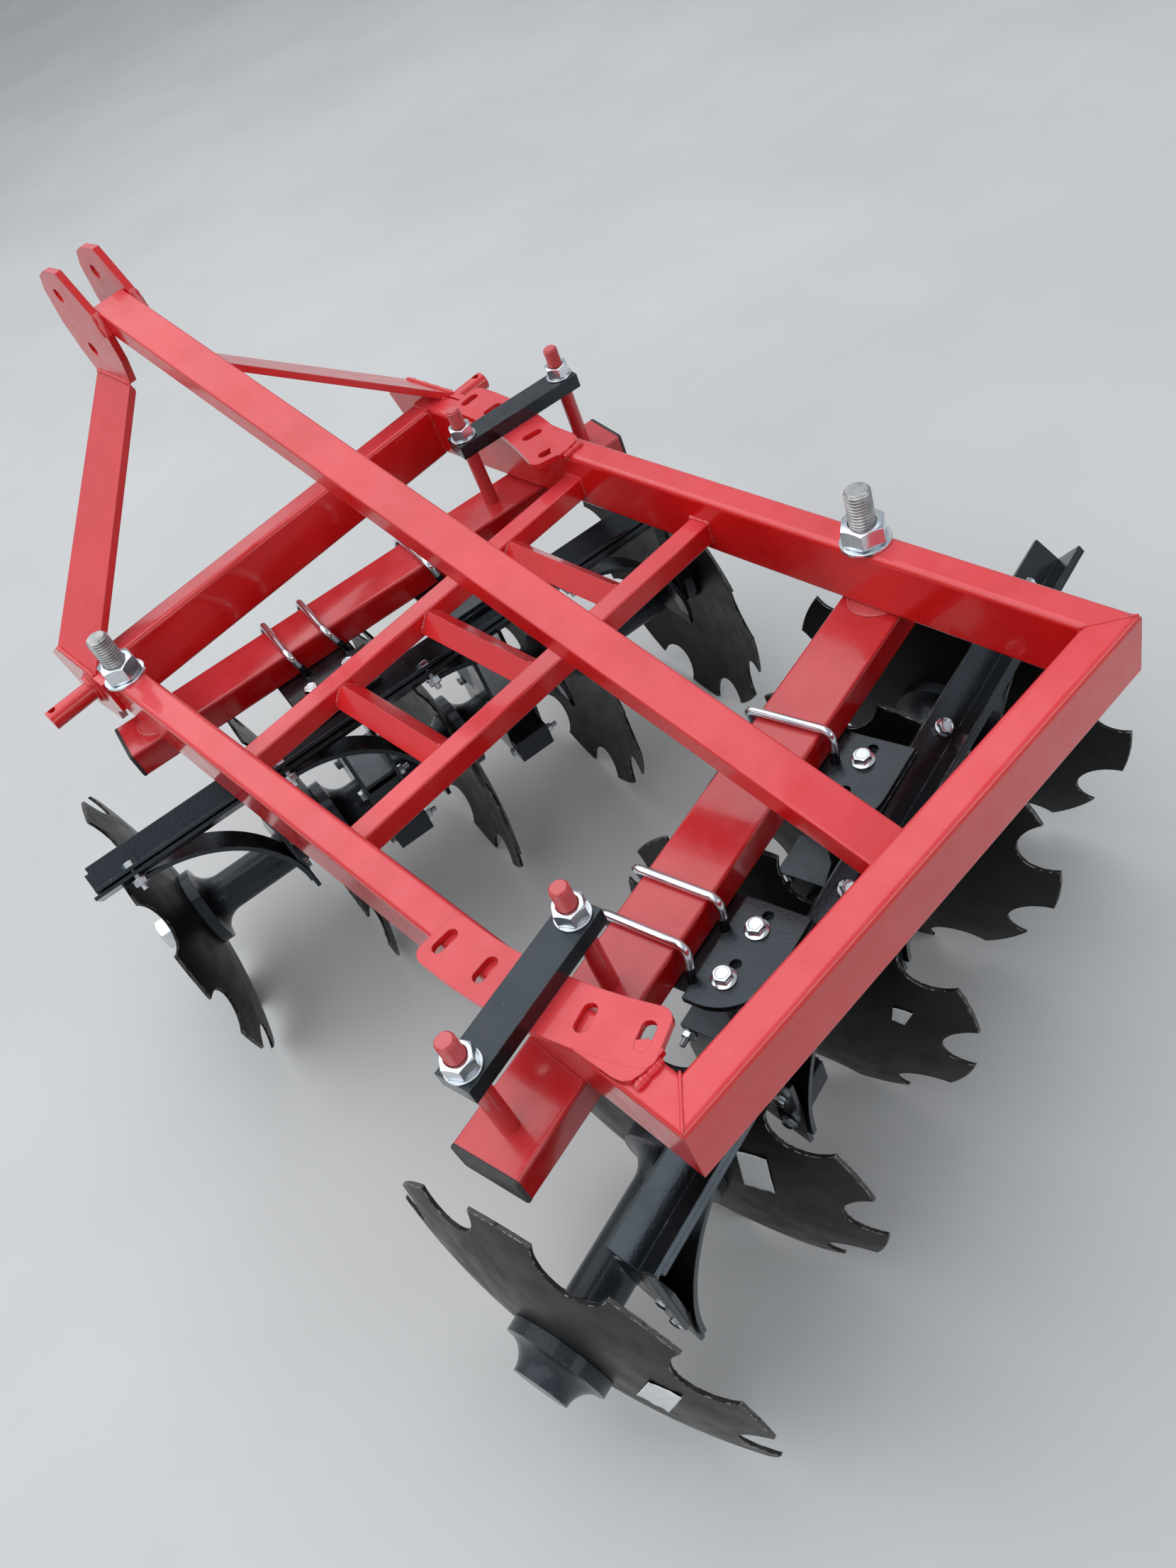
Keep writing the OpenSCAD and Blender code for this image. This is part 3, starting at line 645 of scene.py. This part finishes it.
def fixings(side):
    """Nuts, washers and U-bolts of a beam, its studs and its end caps."""
    row = SIDES[side]
    body = side + "_beam_unit"
    plain = Shape()
    plain.add(washer(PIVOT_R + FREE, 29, PIVOT_WASHER))
    plain.add(hexagon(*PIVOT_NUT, PIVOT_R + FREE, True),
              Matrix.Translation((0, 0, PIVOT_WASHER)) @ Matrix.Rotation(0.4, 4, "Z"))
    for k in (-1, 1):
        m = Matrix.Translation((-CLAMP_S + k * CLAMP_HALF, 0, CLAMP_BAR_TOP))
        plain.add(washer(CLAMP_R + FREE, 18.5, CLAMP_WASHER), m)
        plain.add(hexagon(*CLAMP_NUT, CLAMP_R + FREE, True),
                  m @ Matrix.Translation((0, 0, CLAMP_WASHER))
                  @ Matrix.Rotation(0.3 + 0.5 * k, 4, "Z"))
    sleeves = Shape()
    for c in row["stands"]:
        for k in (-1, 1):
            m = (Matrix.Translation((c + U_MID + k * U_STEP, 0, 0))
                 @ Matrix.Rotation(math.radians(-GANG_ANGLE), 4, "Z"))
            low = m @ Vector((0, -U_HALF, 0))
            far = m @ Vector((0, U_HALF, 0))
            over = c + U_MID + k * (U_STEP - 2)
            path = [(low.x, low.y, HANG_BOT - 12), (low.x, low.y, U_FOOT),
                    (over, -U_TOP_HALF, U_TOP), (over, U_TOP_HALF, U_TOP),
                    (far.x, far.y, U_FOOT), (far.x, far.y, HANG_BOT - 12)]
            plain.add(sweep(bent(path, (6, 13)), U_R, 16))
            for q in (low, far):
                foot = Vector((q.x, q.y, U_FOOT))
                up = Vector((over, math.copysign(U_TOP_HALF, q.y), U_TOP))
                ends = [foot + Vector((0, 0, -3)), foot, foot.lerp(up, 0.42)]
                sleeves.add(sweep(bent(ends, (2.5,)), U_R + 0.25, 16))
            for s in (-1, 1):
                leg = (m @ Matrix.Translation((0, s * U_HALF, HANG_BOT))
                       @ Matrix.Rotation(math.pi, 4, "X"))
                plain.add(washer(U_R + FREE, 11, U_WASHER), leg)
                plain.add(hexagon(*U_NUT, U_R + FREE, True),
                          leg @ Matrix.Translation((0, 0, U_WASHER))
                          @ Matrix.Rotation(0.7 * s + c, 4, "Z"))
                plain.add(thread(U_R, 1.5, U_WASHER + U_NUT[1], 22.0, 16), leg)
    obj = make(side + "_fixings_detail", plain, row["swing"], zinc, body)
    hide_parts(side + "_fixings")
    make(side + "_bolt_feet", sleeves, row["swing"], black, body)

    # clamp studs, and the pad that the pivot stud is welded to
    stud = Shape()
    stud.add(turned([(30, BEAM_TOP), (30, -80.6), (29.4, -80), (PIVOT_R, -80)], 48))
    for k in (-1, 1):
        m = Matrix.Translation((-CLAMP_S + k * CLAMP_HALF, 0, 0))
        stud.add(turned([(CLAMP_R, BEAM_TOP), (CLAMP_R, 30)], 32), m)
        stud.add(thread(CLAMP_R, 3.0, 30.0, CLAMP_TOP), m)
    stud.add(weld(circle((0, 0, BEAM_TOP + 0.5), (0, 0, 1), 31.5), 2.0, True))
    obj = make(side + "_clamp_studs", stud, row["swing"], stud_red, body)
    pivot = Shape()
    pivot.add(turned([(PIVOT_R, BEAM_TOP), (PIVOT_R, 20)], 40))
    pivot.add(thread(PIVOT_R, 4.0, 20.0, PIVOT_TOP, 32))
    pin = make(side + "_pivot_stud", pivot, row["swing"], stud_zinc, body)
    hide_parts(side + "_studs")
    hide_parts(side + "_studs")

    caps = Shape()
    for s0, d in BEAM_ENDS:
        caps.add(end_cap(), Matrix.Translation((s0, 0, (BEAM_TOP + BEAM_BOT) / 2))
                 @ Matrix.Rotation(d * math.pi / 2, 4, "Y"))
    make(side + "_beam_caps", caps, row["swing"], cap_grey, body)


def rounded(w, h, r, z, n=6):
    """Ring in the form of a rectangle with rounded corners."""
    out = []
    for q, (sx, sy) in enumerate(((1, 1), (-1, 1), (-1, -1), (1, -1))):
        for i in range(n + 1):
            a = math.pi / 2 * (q + i / n)
            out.append((sx * (w / 2 - r) + r * math.cos(a), sy * (h / 2 - r) + r * math.sin(a), z))
    return out


def end_cap():
    """Plastic cap over the tube's end, its edge rounded, with a slightly sunk face."""
    return skin([rounded(40.6, 80.6, 4.4, -0.2), rounded(40.8, 80.8, 4.6, 0.4),
                 rounded(40.8, 80.8, 4.6, 2.6), rounded(39.4, 79.4, 4.2, 4.2),
                 rounded(36.4, 76.4, 3.6, 4.8), rounded(33.0, 73.0, 3.0, 4.8),
                 rounded(31.6, 71.6, 2.6, 4.2)])


def gang_bolts(side):
    """Bolts of the angle bars and of the hanger plates."""
    row = SIDES[side]
    shape = Shape()
    # through both angle bars: heads in the hollow, nuts and ends outside
    thick = 1.6
    leg = 1 if side == "rear" else -1
    for k in range(4):
        s = row["scraper"] - 55 - k * DISC_STEP
        up = (Matrix.Translation((s, -row["bar"], BAR_LOW))
              @ Matrix.Rotation(leg * math.pi / 4, 4, "X"))
        head = up @ Matrix.Translation((0, leg * 20, 5))
        shape.add(washer(4.5, 10.5, thick), head)
        shape.add(hexagon(BAR_BOLT, 7),
                  head @ Matrix.Translation((0, 0, thick)) @ Matrix.Rotation(k, 4, "Z"))
        tail = up @ Matrix.Translation((0, leg * 20, -BAR_GAP)) @ Matrix.Rotation(math.pi, 4, "X")
        shape.add(washer(4.5, 10.5, thick), tail)
        shape.add(hexagon(BAR_BOLT, 8, 4.6, True),
                  tail @ Matrix.Translation((0, 0, thick)) @ Matrix.Rotation(k + 0.4, 4, "Z"))
        shape.add(thread(4.4, 1.4, -20.0, 17.0, 16), tail)
    # in the slots of the hanger plates
    for c in row["stands"]:
        for s, v in SLOT_BOLTS:
            m = aim((c + s - 0.5, -row["back"] + v + 2.2, -114.0), (0, 0, 1), c + s)
            shape.add(flange_bolt(18, 11, 13), m)
    make(side + "_gang_bolts", shape, row["gang"], zinc, side + "_beam_unit")


def stand_bolts(side):
    """Bolts at the corners of the bearings' housings, and the block at each stand's foot."""
    row = SIDES[side]
    shape = Shape()
    blocks = Shape()
    for c in row["stands"]:
        at = c - row["shift"]
        foot = (Matrix.Translation((at, -62, AXLE_Z - 44))
                @ Matrix.Rotation(math.pi / 2, 4, "Y"))
        blocks.add(skin([rounded(38, 32, 2.0, -29), rounded(40, 34, 2.0, -28),
                         rounded(40, 34, 2.0, 28), rounded(38, 32, 2.0, 29)]), foot)
        for v, z, out in ((-47, 42, 30), (47, 42, 30), (47, -46, 30), (-64, -46, 29)):
            turn = 1.7 * v + c + z
            head = aim((at + out, v, AXLE_Z + z), (1, 0, 0), turn)
            shape.add(washer(4.5, 9.5, SMALL_WASHER), head)
            shape.add(hexagon(STAND_BOLT, 6.5), head @ Matrix.Translation((0, 0, SMALL_WASHER)))
            tail = aim((at - out, v, AXLE_Z + z), (-1, 0, 0), turn + 20)
            shape.add(washer(4.5, 9.5, SMALL_WASHER), tail)
            shape.add(hexagon(STAND_BOLT, 7.5, 4.2, True),
                      tail @ Matrix.Translation((0, 0, SMALL_WASHER)))
            shape.add(thread(4.0, 1.25, 0.0, 19.0, 16), tail)
    make(side + "_stand_bolts", shape, row["line"], zinc, side + "_beam_unit")
    make(side + "_bearing_feet", blocks, row["line"], cast, side + "_beam_unit")


def scraper_bolts(side):
    """Heads of the two bolts that hold each scraper's blade."""
    row = SIDES[side]
    shape = Shape()
    v = 21 - row["bar"]
    blade_z = SCRAPER_LOW - 136
    for k in range(1, 5):
        for dz in (-30, 22):
            at = (row["scraper"] - k * DISC_STEP - 0.5, v, blade_z + dz)
            m = aim(at, (-1, 0, 0), 20 * k + dz)
            shape.add(washer(4.5, 9.5, SMALL_WASHER), m @ Matrix.Translation((0, 0, -0.4)))
            shape.add(hexagon(SCRAPER_BOLT, 5.5), m @ Matrix.Translation((0, 0, 1)))
    make(side + "_scraper_bolts", shape, row["gang"], zinc, side + "_beam_unit")


def axle(side):
    """Square bar with its collar, two nuts and the threaded end."""
    row = SIDES[side]
    shape = Shape()
    hub = DISC_FIRST + 2
    s0 = DISC_FIRST - 4 * DISC_STEP - 30
    s1 = DISC_FIRST + 30
    along = aim((0, 0, AXLE_Z), (1, 0, 0))
    bar = Matrix.Translation((0, 0, AXLE_Z)) @ Matrix.Rotation(math.pi / 2, 4, "Y")
    shape.add(skin([rounded(25, 25, 1.5, s0), rounded(28, 28, 2.0, s0 + 1.5),
                    rounded(28, 28, 2.0, s1 - 1.5), rounded(25, 25, 1.5, s1)]), bar)
    face = hub + 28
    shape.add(turned([(20, hub + 1), (28, hub + 1), (28, hub + 26), (26.5, face), (14, face)]),
              along)
    shape.add(hexagon(AXLE_NUT, 15, AXLE_R + FREE, True),
              along @ Matrix.Translation((0, 0, face)))
    shape.add(hexagon(AXLE_NUT, 22, AXLE_R + FREE, True),
              along @ Matrix.Translation((0, 0, face + 15 + NUT_GAP))
              @ Matrix.Rotation(0.35, 4, "Z"))
    shape.add(thread(AXLE_R, 3.0, hub + 24, hub + 67, 28), along)
    obj = make(side + "_axle_detail", shape, row["line"], zinc, side + "_gang")
    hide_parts(side + "_axle")


for side in SIDES:
    fixings(side)
    gang_bolts(side)
    stand_bolts(side)
    scraper_bolts(side)
    axle(side)


# welds of the frame: cross tubes with the struts between them, headstock and hitch plates

CROSS_Y = (535, 771)
CROSS_W = 30
STRUT_X = (-145, 2, 150)
WELD_TOP = -6
WELD_LOW = -74


def centre_z(y):
    """Height of the sloping centre rail's top."""
    return -36 + (y - RAIL_W) * math.tan(math.radians(17))


def frame_welds():
    shape = Shape()
    half = FRAME_W / 2
    inner = half - RAIL_W
    front = FRAME_L - RAIL_W

    def bead(points, r, seed=0.0):
        shape.add(weld(points, r, seed=seed))

    for s in (-1, 1):
        # corners of the rectangle, on top and down the inside
        bead([(s * (half - 2), 2, -0.6), (s * (inner - 1), RAIL_W + 1, -0.6)], 2.0, s)
        bead([(s * inner, RAIL_W, WELD_TOP), (s * inner, RAIL_W, WELD_LOW)], 3.0, s + 2)
        bead([(s * inner, front - 2, -0.6), (s * inner, FRAME_L - 4, -0.6)], 2.4, s)
        bead([(s * inner, front, WELD_TOP), (s * inner, front, WELD_LOW)], 3.2, s)
        # ends of the cross tubes
        for k, y in enumerate(CROSS_Y):
            far = y + CROSS_W
            bead([(s * inner, y, -64), (s * inner, y, -34),
                  (s * inner, far, -34), (s * inner, far, -64)], 3.2, s + 3 * k)
        # struts of the headstock: on the ears, on the plates and on the rails
        bead([(s * 35, 1243, 224), (s * 35, 1347, 224)], 3.4, s)
        bead([(s * 35, 1243, 212), (s * 35, 1347, 212)], 3.0, s + 1)
        bead([(s * 318, 1092, 0.5), (s * 318, 1138, 0.5)], 3.2, s)
        bead([(s * 335, 1091, 0.5), (s * 335, 1212, 0.5)], 3.2, s + 4)
        # hitch plate on the rail, and its pin
        bead([(s * half, 1060, -3), (s * half, 1060, -50), (s * half, 1108, -74)], 3.0, s + 5)
        bead([(s * half, 1062, -0.8), (s * half, 1139, -0.8)], 2.0, s + 6)
        shape.add(weld(circle((s * (half + 10.6), 1130, -36), (1, 0, 0), 22.0), 2.6, True, s))
        # ears on the centre rail
        for e in (26.0, 34.5):
            bead([(s * e, 1223, centre_z(1223)), (s * e, 1220, centre_z(1220) - 28)], 2.6, e)
        bead([(s * 25, RAIL_W, -38), (s * 25, RAIL_W, -66)], 3.2, s)
        bead([(s * 25.5, 1236, 330), (s * 25.5, 1239, 300)], 2.6, s)
    # foot of the centre rail, and the struts between the cross tubes
    bead([(-24, RAIL_W + 0.5, -37), (24, RAIL_W + 0.5, -37)], 3.6)
    for x in STRUT_X:
        for y in (CROSS_Y[0] + CROSS_W + 0.5, CROSS_Y[1] - 0.5):
            bead([(x - 20, y, -54), (x, y, -34.5), (x + 20, y, -54)], 2.4, x)
    make("frame_welds", shape, WORLD, red, "frame")


def plate_end(side):
    """Square rear corner of the slotted plate, and the weld beads across the rail at its ends."""
    name = "left" if side == "rear" else "right"
    row = SIDES[side]
    edge = [(-650, -50), (-657, -50), (-661, -80), (-665, -111), (-664.5, -121), (-660, -128),
            (-651, -132.5), (-640, -135.5), (-625, -137.5), (-622, -120), (-640, -90)]
    corner = Shape()
    corner.add(skin([[(x, y, 0.2) for x, y in edge], [(x, y, 7.85) for x, y in edge]]))
    make(name + "_plate_corner", corner, row["swing"], red, "frame")
    shape = Shape()
    shape.add(weld([(-631, -138, 1.5), (-664, -132, 1.5)], 5.0, seed=1))
    # the far end lies on a radius of the pivot
    far = math.radians(12.19)
    line = [(-r * math.cos(far), r * math.sin(far), 0.6) for r in (612, 652)]
    shape.add(weld(line, 4.2, seed=2))
    make(name + "_plate_welds", shape, row["swing"], red, "frame")


frame_welds()
for side in SIDES:
    plate_end(side)


# blank stickers on the domed faces of the rear discs

DISC_R = 230.0
HALF_PLATE = 2.5


def crumple(u, v):
    """Waves of the paper."""
    return (math.sin(u * 9.0 + 3.0 * v) * math.sin(v * 7.0 + 1.3)
            + 0.5 * math.sin(u * 17.0 + v * 11.0))


def sticker(name, disc, corners, curl):
    """Thin crumpled label that follows the dish, its corners given from the axle's middle."""
    row = SIDES["rear"]
    dish_r = (DISC_R * DISC_R + DISH * DISH) / (2 * DISH) + HALF_PLATE
    hub = DISC_FIRST - disc * DISC_STEP
    a, b, c, d = [Vector(p) for p in corners]
    nu, nv = 22, 16
    verts = []
    for j in range(nv + 1):
        for i in range(nu + 1):
            u = i / nu
            v = j / nv
            p = a * (1 - u) * (1 - v) + b * u * (1 - v) + c * u * v + d * (1 - u) * v
            z = dish_r - HALF_PLATE - math.sqrt(dish_r * dish_r - p.length_squared)
            lift = 0.4 + curl * (0.75 + 0.5 * crumple(u, v))
            lift += max(0.0, abs(u - 0.5) + abs(v - 0.5) - 0.82) * 8.0 * curl
            verts.append((hub + z - lift, p.x, AXLE_Z + p.y))
    row_n = nu + 1
    starts = [j * row_n + i for j in range(nv) for i in range(nu)]
    faces = [[k, k + 1, k + 1 + row_n, k + row_n] for k in starts]
    shape = Shape()
    shape.add((verts, faces))
    obj = make(name, shape, row["line"], label, "rear_gang", 80)
    thick = obj.modifiers.new("paper", "SOLIDIFY")
    thick.thickness = 0.0002
    thick.offset = 0.0


sticker("sticker_outer", 4, ((-124, 75), (-156, 67), (-122, -14), (-91, 2)), 0.6)
sticker("sticker_mid", 3, ((-91, 89), (-124, 91), (-121, 18), (-86, 13)), 0.5)
sticker("sticker_inner", 2, ((-144, 41), (-165, 36), (-153, 8), (-140, 14)), 0.4)


# studio

bpy.ops.mesh.primitive_plane_add(size=90)
floor = bpy.context.object
floor.name = "floor"
floor.data.materials.append(studio_floor("studio_floor"))


def lamp(name, size, power, place, look, colour):
    """Rectangular lamp turned towards a point."""
    light = bpy.data.lights.new(name, "AREA")
    light.shape = "RECTANGLE"
    light.size = size[0]
    light.size_y = size[1]
    light.energy = power
    light.color = colour
    obj = bpy.data.objects.new(name, light)
    obj.location = place
    obj.rotation_euler = (Vector(look) - Vector(place)).to_track_quat("-Z", "Y").to_euler()
    bpy.context.scene.collection.objects.link(obj)


lamp("over", (9.0, 7.0), 230.0, (-0.8, 1.6, 4.6), (0, 0.2, 0.3), (0.97, 0.99, 1.0))
lamp("side", (3.0, 2.4), 30.0, (-4.2, -1.6, 2.6), (0, 0, 0.3), (0.95, 0.97, 1.0))
lamp("back", (4.0, 1.8), 42.0, (1.5, -4.4, 2.3), (0.2, 0, 0.3), (0.92, 0.96, 1.0))
world = bpy.data.worlds.new("world")
world.use_nodes = True
world.node_tree.nodes["Background"].inputs[0].default_value = (0.86, 0.93, 1.0, 1)
world.node_tree.nodes["Background"].inputs[1].default_value = 0.50
bpy.context.scene.world = world
bpy.context.scene.view_settings.view_transform = "Standard"
